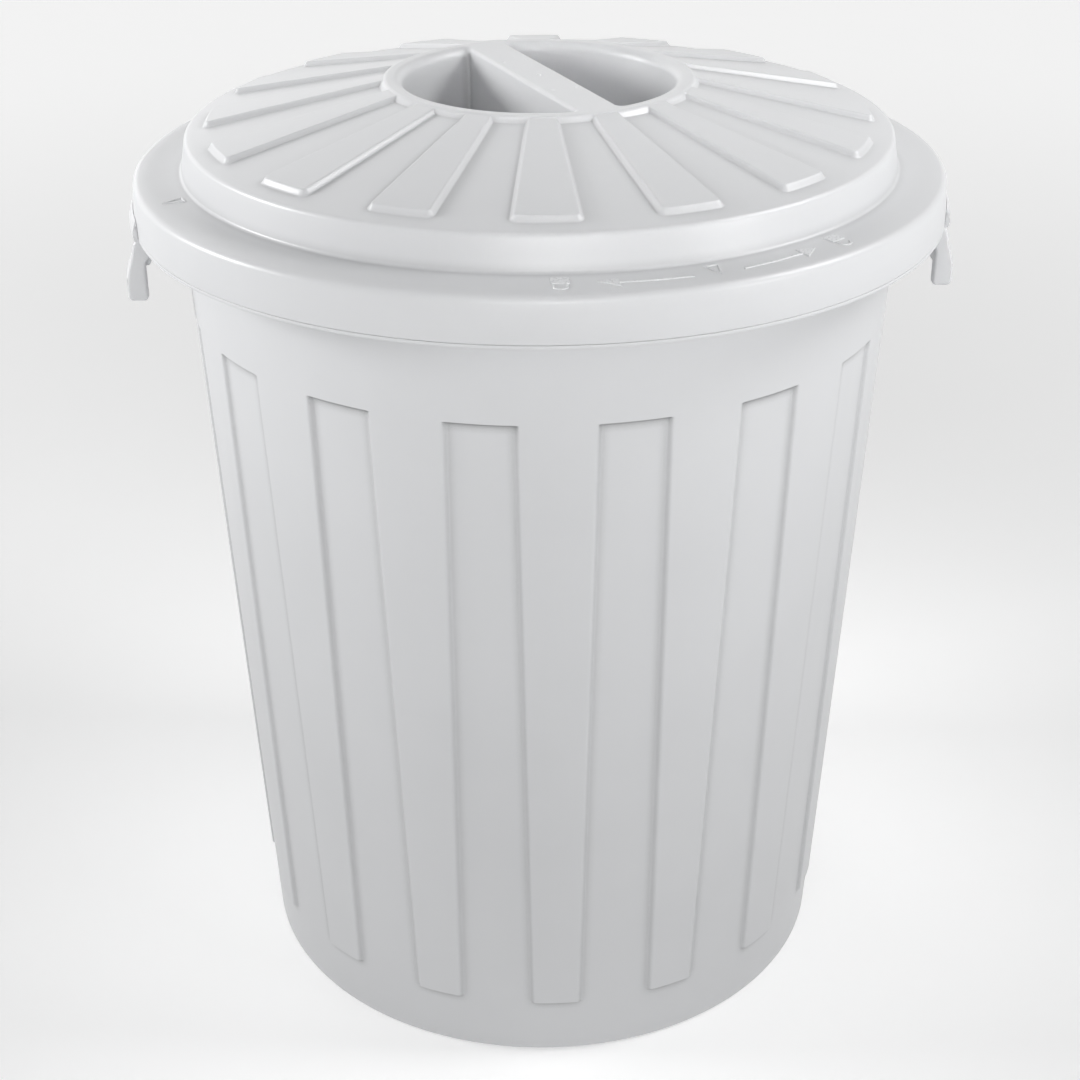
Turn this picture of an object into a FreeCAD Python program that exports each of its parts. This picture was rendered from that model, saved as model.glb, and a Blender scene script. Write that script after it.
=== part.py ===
import FreeCAD, Part
import math
import os

V = FreeCAD.Vector
UP = V(0, 0, 1)

# Driving dimensions of the bin, in millimetres
SKIRT_RADIUS = 230.0
FLANGE_Z = 479.8
FLANGE_THICKNESS = 2.2
SKIRT_Z = 482.3
BRIM_Z = 506.0
LID_TOP_Z = 553.0
WALL = 2.5
SECTORS = 16
PITCH = 360.0 / SECTORS

# Bucket wall: raised fingers on a cone, recessed fingers between them
BASE_RADIUS = 181.2
TAPER = 0.0478
FINGER_DEPTH = 2.0
FINGER_TOP_Z = 427.6
FINGER_FOOT_Z = 40.0
POCKET_HALF_DEG_TOP = 5.27
POCKET_HALF_DEG_FOOT = 6.83
FINGER_SIDE_RUN = 3.0
FINGER_CORNER = 6.0
BASE_EDGE = 4.0
FLOOR = 4.5
FOOT_RING_RADIUS = 152.0
FOOT_RING_HEIGHT = 2.0

# Neck inside the lid
NECK_RADIUS = 221.0
NECK_TOP_Z = 501.2

# Lid dome, ribs, ring and the two finger pockets beside the grip bar
LID_REST_TURN = -1.5
RISER_FOOT_RADIUS = 202.0
RISER_FOOT_Z = 507.6
DOME_EDGE_RADIUS = 198.9
DOME_EDGE_Z = 526.4
RING_FOOT_RADIUS = 89.5
RING_FOOT_Z = 549.2
RING_OUTER = 87.0
RING_INNER = 76.3
POCKET_FOOT_RADIUS = 74.5
POCKET_FLOOR_Z = 511.0
POCKET_CORNER = 3.0
POCKET_EDGE = 2.8
POCKET_FLOOR_EDGE = 2.0
RIB_HALF_DEG = 5.2
RIB_HEIGHT_OUT = 3.0
RIB_HEIGHT_IN = 2.3
RIB_OUT_RADIUS = 188.6
RIB_IN_RADIUS = 86.8
RIB_SIDE_RUN = 2.6
RIB_END_RUN = 2.2
RIB_CORNER = 3.0
BAR_DEG = PITCH
BAR_HALF_WIDTH = 12.5
BAR_DRAFT = 0.7
COLLAR_RADIUS = 216.5
COLLAR_WALL = 2.0
COLLAR_FOOT_Z = 496.5

# Seal ring under the brim
SEAL_INNER = 217.2
SEAL_OUTER = 223.6
SEAL_Z = 501.5
SEAL_HEIGHT = 1.8

# Side handles and their lugs
HANDLE_HALF = 45.0
ARM_WIDTH = 7.5
PIVOT_X = 222.4
PIVOT_Z = 470.0
EYE_RADIUS = 6.0
PIN_RADIUS = 3.5
PIN_CLEARANCE = 0.05
PIN_SUNK = 2.0
PIN_STANDS_OUT = 1.0
ARM_OUTER_X = 233.7
ARM_INNER_X = 222.5
ARM_FOOT_Z = 439.5
ARM_TOE = 6.0
ARM_HEEL = 3.0
GRIP_OUTER = 237.5
GRIP_INNER = 229.5
GRIP_FOOT_Z = 441.5
GRIP_HEIGHT = 12.0
GRIP_EDGE = 2.5
LUG_THICKNESS = 7.0
LUG_GAP = 0.4
LUG_ROOT_X = 201.0
LUG_ROOT_HEIGHT = 6.0
LUG_OUTER_X = 228.4
LUG_FOOT_Z = 455.0
LUG_TIP_RADIUS = 5.5
SHIELD_HALF_DEG = 15.5
SHIELD_INNER = 230.6
SHIELD_OUTER = 232.6
SHIELD_TOP_Z = 493.5


def cone_radius(z):
    return BASE_RADIUS + TAPER * z


def floor_radius(z):
    return cone_radius(z) - FINGER_DEPTH


def dome_z(r):
    share = (DOME_EDGE_RADIUS - r) / (DOME_EDGE_RADIUS - RING_FOOT_RADIUS)
    return DOME_EDGE_Z + share * (RING_FOOT_Z - DOME_EDGE_Z)


def polar(r, deg, z):
    return V(r * math.cos(math.radians(deg)), r * math.sin(math.radians(deg)), z)


# Closed wire in the XZ plane; each corner is x, z and its rounding
def rounded_wire(corners):
    count = len(corners)
    cuts = []
    for i in range(count):
        x, z, rounding = corners[i]
        here = V(x, 0, z)
        before = V(corners[i - 1][0], 0, corners[i - 1][1])
        after = V(corners[(i + 1) % count][0], 0, corners[(i + 1) % count][1])
        if rounding <= 0:
            cuts.append((here, None, here))
            continue
        to_before = (before - here).normalize()
        to_after = (after - here).normalize()
        half = to_before.getAngle(to_after) / 2
        reach = rounding / math.tan(half)
        middle = (to_before + to_after).normalize()
        top = here + middle * (rounding / math.sin(half) - rounding)
        cuts.append((here + to_before * reach, top, here + to_after * reach))
    edges = []
    for i in range(count):
        start, top, end = cuts[i]
        if top is not None:
            edges.append(Part.Arc(start, top, end).toShape())
        following = cuts[(i + 1) % count][0]
        if (following - end).Length > 1e-6:
            edges.append(Part.makeLine(end, following))
    return Part.Wire(edges)


def revolved(corners, degrees=360):
    face = Part.Face(rounded_wire(corners))
    return face.revolve(V(0, 0, 0), UP, degrees)


def turned(shape, degrees):
    copy = shape.copy()
    copy.rotate(V(0, 0, 0), UP, degrees)
    return copy


def pattern(shape, count=SECTORS):
    return [turned(shape, i * 360.0 / count) for i in range(count)]


def block(points_low, points_high):
    low = Part.makePolygon(points_low + points_low[:1])
    high = Part.makePolygon(points_high + points_high[:1])
    return Part.makeLoft([low, high], True, True)


# Bucket shell at the level of the recessed fingers, with flange and neck
def bucket_shell():
    flange_top = FLANGE_Z + FLANGE_THICKNESS
    corners = [
        (0, FOOT_RING_HEIGHT, 0),
        (FOOT_RING_RADIUS, FOOT_RING_HEIGHT, 0),
        (FOOT_RING_RADIUS + 2 * FOOT_RING_HEIGHT, 0, 0),
        (floor_radius(0), 0, BASE_EDGE),
        (floor_radius(FLANGE_Z), FLANGE_Z, 0),
        (SKIRT_RADIUS, FLANGE_Z, 0.6),
        (SKIRT_RADIUS, flange_top, 0.6),
        (NECK_RADIUS, flange_top, 0.8),
        (NECK_RADIUS, NECK_TOP_Z, 1.0),
        (NECK_RADIUS - WALL, NECK_TOP_Z, 1.0),
        (NECK_RADIUS - WALL, flange_top, 1.0),
        (cone_radius(FLANGE_Z) - WALL, flange_top, 2.0),
        (cone_radius(FLANGE_Z) - WALL, FLANGE_Z, 0),
        (floor_radius(FLANGE_Z) - WALL, FLANGE_Z, 0),
        (floor_radius(FLOOR) - WALL, FLOOR, BASE_EDGE),
        (0, FLOOR, 0),
    ]
    return revolved(corners)


# Corner of a recessed finger, left or right of its centre line
def pocket_corner(side, z, height, spread):
    span = FINGER_TOP_Z - FINGER_FOOT_Z
    down = (FINGER_TOP_Z - z) / span
    half = POCKET_HALF_DEG_TOP + down * (POCKET_HALF_DEG_FOOT - POCKET_HALF_DEG_TOP)
    radius = floor_radius(z) + height
    return polar(radius, side * (half + math.degrees(spread / radius)), z)


# Block with the form of a recessed finger; depth moves it inward and margin widens it
def pocket_block(depth, margin):
    below = FINGER_FOOT_Z - 10
    rings = []
    for height, share in ((0.0, -0.5), (2 * FINGER_DEPTH, 1.5)):
        spread = share * FINGER_SIDE_RUN + margin
        top = FINGER_TOP_Z + spread
        rings.append([
            pocket_corner(-1, below, height - depth, spread),
            pocket_corner(1, below, height - depth, spread),
            pocket_corner(1, top, height - depth, spread),
            pocket_corner(-1, top, height - depth, spread),
        ])
    form = block(rings[0], rings[1])
    top_corners = []
    for edge in form.Edges:
        a, b = [vertex.Point for vertex in edge.Vertexes]
        if min(a.z, b.z) > FINGER_TOP_Z - 5 and abs(a.y - b.y) < 10:
            top_corners.append(edge)
    form = form.makeFillet(FINGER_CORNER, top_corners)
    return turned(form, PITCH / 2)


# Waste piece that rounds one lower corner of a raised finger
def finger_corner_cutter(side):
    radius = floor_radius(FINGER_FOOT_Z)
    half = PITCH / 2 - POCKET_HALF_DEG_FOOT
    size = FINGER_CORNER
    edge_y = side * radius * math.sin(math.radians(half))
    out = -side
    bend = size * (1 - math.sqrt(0.5))
    a = V(radius - 4, edge_y - out, FINGER_FOOT_Z - 1)
    b = V(radius - 4, edge_y + out * size, FINGER_FOOT_Z - 1)
    c = V(radius - 4, edge_y + out * size, FINGER_FOOT_Z)
    d = V(radius - 4, edge_y + out * bend, FINGER_FOOT_Z + bend)
    e = V(radius - 4, edge_y, FINGER_FOOT_Z + size)
    f = V(radius - 4, edge_y - out, FINGER_FOOT_Z + size)
    lines = [
        Part.makeLine(a, b),
        Part.makeLine(b, c),
        Part.Arc(c, d, e).toShape(),
        Part.makeLine(e, f),
        Part.makeLine(f, a),
    ]
    return Part.Face(Part.Wire(lines)).extrude(V(10, 0, 0))


def finger_band():
    inside = 1.0
    ring = revolved([
        (floor_radius(FINGER_FOOT_Z) - inside, FINGER_FOOT_Z, 0),
        (cone_radius(FINGER_FOOT_Z), FINGER_FOOT_Z, 0),
        (cone_radius(FLANGE_Z), FLANGE_Z, 0),
        (floor_radius(FLANGE_Z) - inside, FLANGE_Z, 0),
    ])
    waste = pattern(pocket_block(0.0, 0.0))
    for side in (-1, 1):
        waste += pattern(finger_corner_cutter(side))
    return ring.cut(waste)


# Space behind the raised fingers and the top band, which keeps the wall one thickness
def finger_hollow():
    foot_z = FINGER_FOOT_Z + WALL
    inside = 1.0
    ring = revolved([
        (floor_radius(foot_z) - WALL - inside, foot_z, 0),
        (cone_radius(foot_z) - WALL, foot_z + FINGER_DEPTH, 0),
        (cone_radius(FLANGE_Z) - WALL, FLANGE_Z, 0),
        (floor_radius(FLANGE_Z) - WALL - inside, FLANGE_Z, 0),
    ])
    return ring.cut(pattern(pocket_block(WALL, WALL / 2)))


# Lug under the flange that holds one end of a handle
def lug(middle_y):
    top = FLANGE_Z + FLANGE_THICKNESS / 2
    corners = [
        (LUG_ROOT_X, top, 0),
        (LUG_OUTER_X, top, 0),
        (LUG_OUTER_X, LUG_FOOT_Z, LUG_TIP_RADIUS),
        (LUG_OUTER_X - 2 * LUG_TIP_RADIUS, LUG_FOOT_Z, LUG_TIP_RADIUS / 2),
        (LUG_ROOT_X, FLANGE_Z - LUG_ROOT_HEIGHT, 0),
    ]
    plate = Part.Face(rounded_wire(corners)).extrude(V(0, LUG_THICKNESS, 0))
    plate.translate(V(0, middle_y - LUG_THICKNESS / 2, 0))
    hole = Part.makeCylinder(PIN_RADIUS + PIN_CLEARANCE, 4 * LUG_THICKNESS,
                             V(PIVOT_X, middle_y - 2 * LUG_THICKNESS, PIVOT_Z), V(0, 1, 0))
    return plate.cut(hole)


# Low shield on the flange, outside the lid's skirt, above a handle
def handle_shield():
    flange_top = FLANGE_Z + FLANGE_THICKNESS
    low = V(SHIELD_OUTER - 0.7, 0, FLANGE_Z)
    bulge = V(SHIELD_OUTER, 0, FLANGE_Z + 6.0)
    high = V(SHIELD_INNER + 0.5, 0, SHIELD_TOP_Z)
    points = [
        high,
        V(SHIELD_INNER, 0, SHIELD_TOP_Z),
        V(SHIELD_INNER, 0, flange_top),
        V(SKIRT_RADIUS - 2.0, 0, flange_top),
        V(SKIRT_RADIUS - 2.0, 0, FLANGE_Z),
        low,
    ]
    edges = [Part.Arc(low, bulge, high).toShape()]
    for i in range(len(points) - 1):
        edges.append(Part.makeLine(points[i], points[i + 1]))
    shield = Part.Face(Part.Wire(edges)).revolve(V(0, 0, 0), UP, 2 * SHIELD_HALF_DEG)
    return turned(shield, -SHIELD_HALF_DEG)


def make_bucket():
    lug_y = HANDLE_HALF - ARM_WIDTH - LUG_GAP - LUG_THICKNESS / 2
    pieces = [finger_band()]
    for side_turn in (0, 180):
        pieces.append(turned(handle_shield(), side_turn))
        for sign in (-1, 1):
            pieces.append(turned(lug(sign * lug_y), side_turn))
    bucket = bucket_shell().fuse(pieces)
    bucket = bucket.cut(finger_hollow())
    return bucket.removeSplitter()


# Lid without its ribs and pockets: skirt, brim, riser, dome, ring and the plate inside the ring
def lid_shell():
    slope = (RING_FOOT_Z - DOME_EDGE_Z) / (DOME_EDGE_RADIUS - RING_FOOT_RADIUS)
    under = WALL * math.sqrt(1 + slope * slope)
    plate_z = LID_TOP_Z - WALL
    ring_back = RING_OUTER - WALL
    corners = [
        (SKIRT_RADIUS, SKIRT_Z, 0.6),
        (SKIRT_RADIUS - 1.0, BRIM_Z, 4.0),
        (RISER_FOOT_RADIUS, RISER_FOOT_Z, 2.0),
        (DOME_EDGE_RADIUS, DOME_EDGE_Z, 3.0),
        (RING_FOOT_RADIUS, RING_FOOT_Z, 1.0),
        (RING_OUTER, LID_TOP_Z, 2.0),
        (0, LID_TOP_Z, 0),
        (0, plate_z, 0),
        (ring_back, plate_z, 1.0),
        (ring_back + 1.5, dome_z(ring_back + 1.5) - under, 1.0),
        (DOME_EDGE_RADIUS - WALL, dome_z(DOME_EDGE_RADIUS - WALL) - under, 1.0),
        (RISER_FOOT_RADIUS - WALL, RISER_FOOT_Z - WALL, 1.5),
        (SKIRT_RADIUS - 1.0 - WALL, BRIM_Z - WALL, 1.5),
        (SKIRT_RADIUS - WALL, SKIRT_Z, 0.6),
    ]
    return revolved(corners)


# Tapered rib with sloped sides, standing on the dome
def lid_rib():
    rings = []
    for share in (-0.4, 1.0):
        r_out = RIB_OUT_RADIUS - share * RIB_END_RUN
        ring = []
        for radius, height in ((RIB_IN_RADIUS, RIB_HEIGHT_IN), (r_out, RIB_HEIGHT_OUT)):
            half = radius * math.sin(math.radians(RIB_HALF_DEG)) - (share - 0.5) * RIB_SIDE_RUN
            z = dome_z(radius) + share * height
            ring.append((V(radius, -half, z), V(radius, half, z)))
        rings.append([ring[0][0], ring[1][0], ring[1][1], ring[0][1]])
    rib = block(rings[0], rings[1])
    end_corners = []
    for edge in rib.Edges:
        a, b = [vertex.Point for vertex in edge.Vertexes]
        if min(a.x, b.x) > RIB_OUT_RADIUS - 2 * RIB_END_RUN and abs(a.y - b.y) < 2 * RIB_SIDE_RUN:
            end_corners.append(edge)
    return rib.makeFillet(RIB_CORNER, end_corners)


# D-shaped outline of a finger pocket on the +X side of the bar, which runs along Y
def pocket_wire(radius, half_width, corner, z):
    corner_x = half_width + corner
    corner_y = math.sqrt((radius - corner) ** 2 - corner_x ** 2)
    turn = math.atan2(corner_y, corner_x)
    middle = (math.pi + turn) / 2
    points = []
    for side in (1, -1):
        points.append((
            V(half_width, side * corner_y, z),
            V(corner_x + corner * math.cos(middle), side * (corner_y + corner * math.sin(middle)), z),
            V(radius * math.cos(turn), side * radius * math.sin(turn), z),
        ))
    (back_line, back_bend, back_arc), (front_line, front_bend, front_arc) = points
    return Part.Wire([
        Part.makeLine(front_line, back_line),
        Part.Arc(back_line, back_bend, back_arc).toShape(),
        Part.Arc(back_arc, V(radius, 0, z), front_arc).toShape(),
        Part.Arc(front_arc, front_bend, front_line).toShape(),
    ])


# Solid that fills a pocket, or with a growth of one wall the outside of its cup
def pocket_form(growth, top_z, floor_z, floor_edge):
    corner = POCKET_CORNER + growth
    top = pocket_wire(RING_INNER + growth, BAR_HALF_WIDTH - growth, corner, top_z)
    foot = pocket_wire(POCKET_FOOT_RADIUS + growth, BAR_HALF_WIDTH + BAR_DRAFT - growth, corner, floor_z)
    form = Part.makeLoft([top, foot], True, True)
    floor_edges = [edge for edge in form.Edges if max(v.Z for v in edge.Vertexes) < floor_z + 0.1]
    return form.makeFillet(floor_edge, floor_edges)


# Rounds the top edges of the pockets, where the bar and the ring meet them
def round_pocket_edges(lid):
    edges = []
    for edge in lid.Edges:
        box = edge.BoundBox
        on_top = abs(box.ZMin - LID_TOP_Z) < 0.01 and abs(box.ZMax - LID_TOP_Z) < 0.01
        reach = max(math.hypot(v.X, v.Y) for v in edge.Vertexes)
        if on_top and reach < RING_INNER + 0.5:
            edges.append(edge)
    return lid.makeFillet(POCKET_EDGE, edges)


# The dome pattern is drawn with its first rib on +X and turned to face the front
def make_lid():
    collar_height = BRIM_Z - WALL + 0.8 - COLLAR_FOOT_Z
    collar_foot = V(0, 0, COLLAR_FOOT_Z)
    collar = Part.makeCylinder(COLLAR_RADIUS, collar_height, collar_foot)
    collar = collar.cut(Part.makeCylinder(COLLAR_RADIUS - COLLAR_WALL, collar_height, collar_foot))
    cup = pocket_form(WALL, LID_TOP_Z - WALL / 2, POCKET_FLOOR_Z - WALL, POCKET_FLOOR_EDGE + WALL)
    pocket = pocket_form(0.0, LID_TOP_Z, POCKET_FLOOR_Z, POCKET_FLOOR_EDGE)
    bar_turns = (BAR_DEG, BAR_DEG + 180)
    cups = [turned(cup, turn) for turn in bar_turns]
    pockets = [turned(pocket, turn) for turn in bar_turns]
    centre = lid_shell().fuse(cups).cut(pockets)
    centre = round_pocket_edges(centre.removeSplitter())
    ribs = [turned(rib, -90) for rib in pattern(lid_rib())]
    lid = centre.fuse(ribs + [collar])
    return turned(lid.removeSplitter(), LID_REST_TURN)


def make_seal():
    outer = Part.makeCylinder(SEAL_OUTER, SEAL_HEIGHT, V(0, 0, SEAL_Z))
    return outer.cut(Part.makeCylinder(SEAL_INNER, SEAL_HEIGHT, V(0, 0, SEAL_Z)))


# Point on the rim of a handle's eye, by its angle from +X
def eye_point(degrees):
    angle = math.radians(degrees)
    return V(PIVOT_X + EYE_RADIUS * math.cos(angle), 0, PIVOT_Z + EYE_RADIUS * math.sin(angle))


# One arm of a handle, from its eye down to its foot
def handle_arm(low_y):
    toe_top = V(ARM_OUTER_X, 0, ARM_FOOT_Z + ARM_TOE)
    toe = V(ARM_OUTER_X - 0.2 * ARM_TOE, 0, ARM_FOOT_Z + 0.25 * ARM_TOE)
    sole_out = V(ARM_OUTER_X - 0.75 * ARM_TOE, 0, ARM_FOOT_Z)
    sole_in = V(ARM_INNER_X + ARM_HEEL, 0, ARM_FOOT_Z)
    heel = V(ARM_INNER_X + 0.3 * ARM_HEEL, 0, ARM_FOOT_Z + 0.3 * ARM_HEEL)
    heel_top = V(ARM_INNER_X, 0, ARM_FOOT_Z + ARM_HEEL)
    inner_top = V(ARM_INNER_X, 0, PIVOT_Z - 1.5 * EYE_RADIUS)
    outer = Part.BSplineCurve()
    outer.interpolate([
        eye_point(20),
        V(ARM_OUTER_X - 3.4, 0, PIVOT_Z - 7.0),
        V(ARM_OUTER_X - 0.7, 0, PIVOT_Z - 17.0),
        toe_top,
    ])
    edges = [
        Part.Arc(eye_point(90), eye_point(55), eye_point(20)).toShape(),
        outer.toShape(),
        Part.Arc(toe_top, toe, sole_out).toShape(),
        Part.makeLine(sole_out, sole_in),
        Part.Arc(sole_in, heel, heel_top).toShape(),
        Part.makeLine(heel_top, inner_top),
        Part.makeLine(inner_top, eye_point(180)),
        Part.Arc(eye_point(180), eye_point(135), eye_point(90)).toShape(),
    ]
    arm = Part.Face(Part.Wire(edges)).extrude(V(0, ARM_WIDTH, 0))
    arm.translate(V(0, low_y, 0))
    return arm


# Swinging handle on the +X side: two arms, a grip curved with the rim and two pins
def make_handle():
    inner_y = HANDLE_HALF - ARM_WIDTH
    sunk_y = inner_y + PIN_SUNK
    half_deg = math.degrees(math.asin(HANDLE_HALF / GRIP_INNER))
    grip = revolved([
        (GRIP_INNER, GRIP_FOOT_Z, GRIP_EDGE),
        (GRIP_OUTER, GRIP_FOOT_Z, GRIP_EDGE),
        (GRIP_OUTER, GRIP_FOOT_Z + GRIP_HEIGHT, GRIP_EDGE),
        (GRIP_INNER, GRIP_FOOT_Z + GRIP_HEIGHT, GRIP_EDGE),
    ], 2 * half_deg)
    grip = turned(grip, -half_deg)
    between = Part.makeBox(GRIP_OUTER, 2 * sunk_y, 2 * GRIP_HEIGHT, V(0, -sunk_y, ARM_FOOT_Z))
    pieces = [grip.common(between)]
    for sign in (-1, 1):
        low_y = inner_y if sign > 0 else -HANDLE_HALF
        pieces.append(handle_arm(low_y))
        pin_length = PIN_SUNK + LUG_GAP + LUG_THICKNESS + PIN_STANDS_OUT
        start = V(PIVOT_X, sign * sunk_y, PIVOT_Z)
        pieces.append(Part.makeCylinder(PIN_RADIUS, pin_length, start, V(0, -sign, 0)))
    handle = pieces[0].fuse(pieces[1:])
    return handle.removeSplitter()


def main():
    os.makedirs("parts", exist_ok=True)
    handle = make_handle()
    nodes = {
        "bucket": make_bucket(),
        "lid": make_lid(),
        "lid_seal": make_seal(),
        "handle_right": handle,
        "handle_left": turned(handle, 180),
    }
    for name, shape in nodes.items():
        state = "valid" if shape.isValid() else "NOT VALID"
        print(name, state, "solids", len(shape.Solids), "faces", len(shape.Faces), shape.BoundBox)
        shape.exportStep("parts/" + name + ".step")


main()
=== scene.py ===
import math

import bmesh
import bpy
import numpy as np
from mathutils import Matrix, Vector
from mathutils.geometry import tessellate_polygon


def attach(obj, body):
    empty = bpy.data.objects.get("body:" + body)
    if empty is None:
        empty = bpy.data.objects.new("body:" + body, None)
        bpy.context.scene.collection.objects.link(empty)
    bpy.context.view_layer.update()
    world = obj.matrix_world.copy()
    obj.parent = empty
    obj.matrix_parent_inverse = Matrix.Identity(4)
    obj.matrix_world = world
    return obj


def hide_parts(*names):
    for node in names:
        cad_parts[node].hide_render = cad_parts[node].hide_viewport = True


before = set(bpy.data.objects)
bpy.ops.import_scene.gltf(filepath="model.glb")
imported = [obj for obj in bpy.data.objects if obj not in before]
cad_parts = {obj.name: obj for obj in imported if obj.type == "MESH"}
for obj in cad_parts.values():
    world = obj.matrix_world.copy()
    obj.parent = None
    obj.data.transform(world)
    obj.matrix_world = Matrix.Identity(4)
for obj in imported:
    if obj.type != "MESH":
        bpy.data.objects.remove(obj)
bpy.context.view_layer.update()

# Driving dimensions of the bin, in millimetres
MM = 0.001
SECTORS = 16
PITCH = math.radians(360.0 / SECTORS)
WALL = 2.5
SKIRT_RADIUS = 229.9
SKIRT_Z = 482.12
FLANGE_Z = 479.8
FLANGE_TOP = 482.0
BRIM_Z = 506.0
LID_TOP_Z = 552.7

# Bucket wall: raised fingers on a cone, recessed fingers between them
BASE_RADIUS = 181.2
BASE_EDGE = 4.0
TAPER = 0.0478
FLOOR = 4.5
FOOT_RING_RADIUS = 152.0
FOOT_RING_HEIGHT = 2.0
FOOT_RING_EDGE = 0.8
OUTSIDE_START_Z = 8.0
INSIDE_START_Z = 10.0
FINGER_DEPTH = 2.0
FINGER_TOP_Z = 427.6
FINGER_FOOT_Z = 40.0
RECESS_HALF_TOP = math.radians(5.27)
RECESS_HALF_FOOT = math.radians(6.83)
RECESS_REACH = 1.05
FINGER_RUN = 3.4
LEDGE_RUN = 0.6

# Bend of a finger's sides, and roundings of its corners as shares of the runs
FINGER_BEND = 0.3
RECESS_CORNER = 0.5
FOOT_CORNER = 1.2

# Rows of the wall as first height, last height and count, and rows from the height of a finger's end
LOW_ROWS = (12.0, 28.0, 3)
MIDDLE_ROWS = (56.0, 410.0, 9)
HIGH_ROWS = (442.0, FLANGE_Z - 4.0, 5)
BELOW_END_ROWS = (-6.0, -1.5, 4)
AT_END_ROWS = (-1.0, 1.0, 11)
ABOVE_END_ROW = 3.0

# Flange and neck, with the roundings of their edges
RIM_START_Z = FLANGE_Z - 3.0
RIM_END_Z = FLANGE_Z - 1.0
FLANGE_ROOT = 1.2
FLANGE_EDGE = 0.9
SEAM_EDGE = 0.35
NECK_RADIUS = 221.0
NECK_TOP_Z = 501.2
NECK_ROOT = 0.8
NECK_EDGE = 1.0
THROAT_EDGE = 2.0

# Lugs that carry the handles
PIVOT_X = 222.4
PIVOT_Z = 470.0
LUG_ROOT_X = 201.0
LUG_ROOT_Z = FLANGE_Z - 3.0
LUG_OUTER_X = 228.4
LUG_FOOT_Z = 458.0
LUG_TOE_X = PIVOT_X - 1.5
LUG_WAIST_X = PIVOT_X - 8.0
LUG_WAIST_Z = PIVOT_Z + 1.0
LUG_SUNK = 0.5
LUG_TIP_RADIUS = 5.0
LUG_THICKNESS = 7.0
LUG_Y = 33.6
LUG_HOLE = 3.55
HOLE_POINTS = 32

# Shields on the flange above the handles
SHIELD_HALF = math.radians(15.5)
SHIELD_SUNK = 2.0
SHIELD_INNER = 230.0
SHIELD_OUTER = 232.6
SHIELD_LIP = 0.3
SHIELD_SHOULDER = 0.4
SHIELD_BULGE_Z = 484.0
SHIELD_TOP_Z = 491.0
SHIELD_END = 6.0
SHIELD_END_ROWS = 9
SHIELD_ROWS = 12
SHIELD_LEVELS = 12

# Swinging handles: the eye's arc is in degrees, with its count of points
HANDLE_HALF = 45.0
ARM_WIDTH = 7.5
ARM_Y = HANDLE_HALF - ARM_WIDTH / 2
ARM_OUTER_X = 233.7
ARM_INNER_X = 222.5
ARM_SHOULDER = (ARM_OUTER_X - 3.4, PIVOT_Z - 7.0)
ARM_ELBOW = (ARM_OUTER_X - 0.5, PIVOT_Z - 17.0)
ARM_NECK_Z = PIVOT_Z - 9.0
ARM_FOOT_Z = 439.5
ARM_CURVE = 30.0
ARM_NECK_CURVE = 6.0
ARM_TOE = 3.0
ARM_HEEL = 2.0
ARM_EDGE = 1.7
ARM_EDGE_ROWS = 6
EYE_RADIUS = 6.0
EYE_ARC = (180, 20, 13)
PIN_RADIUS = 3.5
PIN_END_Y = 29.1
PIN_CHAMFER = 0.6
GRIP_OUTER = 237.5
GRIP_INNER = 229.5
GRIP_FOOT_Z = 441.5
GRIP_HEIGHT = 12.0
GRIP_EDGE = 3.0
GRIP_ROWS = 25

# Lid: skirt, brim, collar, riser and dome, with the roundings of their edges
LID_TURN = math.radians(-1.5)
BRIM_RADIUS = SKIRT_RADIUS - 1.0
BRIM_EDGE = 4.0
SKIRT_INNER = SKIRT_RADIUS - WALL
SKIRT_INSIDE_Z = SKIRT_Z + 3.0
SKIRT_BEND = 20.0
SKIRT_FOOT_EDGE = 0.7
COLLAR_RADIUS = 216.5
COLLAR_INNER = COLLAR_RADIUS - 2.0
COLLAR_FOOT_Z = 496.5
COLLAR_EDGE = 0.6
RISER_FOOT = (202.0, 507.6)
RISER_ROOT = 2.0
DOME_EDGE = (198.9, 526.4)
DOME_EDGE_ROUND = 3.0
UNDER_BRIM_EDGE = 1.5
UNDER_DOME_EDGE = 1.0

# Ring round the grip
RING_FOOT = (89.5, 549.2)
RING_OUTER = 87.0
RING_INNER = 76.3
RING_BACK = RING_OUTER - WALL
RING_BACK_DRAFT = 1.5
RING_BACK_FLAT = 2.0
RING_OUTER_EDGE = 4.0
RING_EDGE = 5.5
RING_ROOT = 1.0
FLAT_RIM = 0.5

# Ribs on the dome: rows along them as first, last and count, and at their ends as first, last and step
RIB_HALF = math.radians(5.2)
RIB_HEIGHT_OUT = 3.0
RIB_HEIGHT_IN = 2.3
RIB_START_RADIUS = RING_FOOT[0] + 2.0
RIB_OUT_RADIUS = 187.5
RIB_PAST_RADIUS = RIB_OUT_RADIUS + 4.0
RIB_RUN = 2.6
RIB_BEND = 0.25
RIB_CORNER = 3.0
RIB_ROWS = (RIB_START_RADIUS, RIB_OUT_RADIUS - 6.0, 30)
RIB_END_ROWS = (RIB_OUT_RADIUS - 5.0, RIB_PAST_RADIUS, 0.4)

# Grip bar and the two finger pockets beside it
BAR_TURN = LID_TURN + PITCH
BAR_HALF_WIDTH = 12.5
BAR_DRAFT = 0.7
BAR_EDGE = 2.5
CUP_EDGE = 0.8
POCKET_FOOT_RADIUS = 74.5
POCKET_FLOOR_Z = 511.0
POCKET_CORNER = 1.6
POCKET_FLOOR_EDGE = 2.0
POCKET_RIM_SHARE = 1.001
POCKET_EDGE_ROWS = 9
POCKET_WALL_ROWS = 9
POCKET_FLOOR_ROWS = 7
POCKET_LINE_POINTS = 25
POCKET_BEND_POINTS = 10
POCKET_ARC_POINTS = 72

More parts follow.
